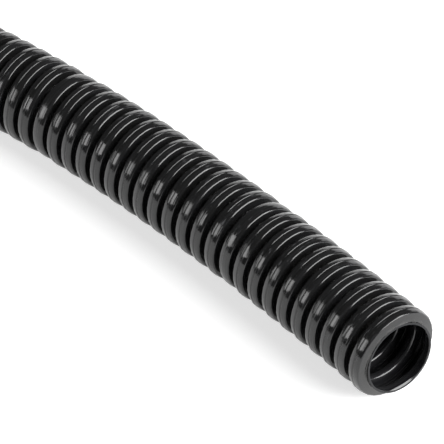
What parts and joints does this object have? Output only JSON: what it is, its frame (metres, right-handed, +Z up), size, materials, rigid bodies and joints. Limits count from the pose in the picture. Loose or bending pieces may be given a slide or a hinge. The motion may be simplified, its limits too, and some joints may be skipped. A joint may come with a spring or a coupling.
{
  "type": "corrugated electrical conduit",
  "caption": "Length of black corrugated plastic conduit with ringed ribs and an open bore, lying with a gentle bend.",
  "frame": {"origin": "centre of the part's box in plan, on the floor that it lies on", "axes": "+Z up, +X along the straight length towards the hand-cut open end, which bends towards -Y"},
  "size_m": [0.5008, 0.049, 0.025],
  "materials": {
    "black_plastic": "gloss"
  },
  "bodies": {
    "root": {"conduit": "black_plastic"}
  },
  "joints": []
}
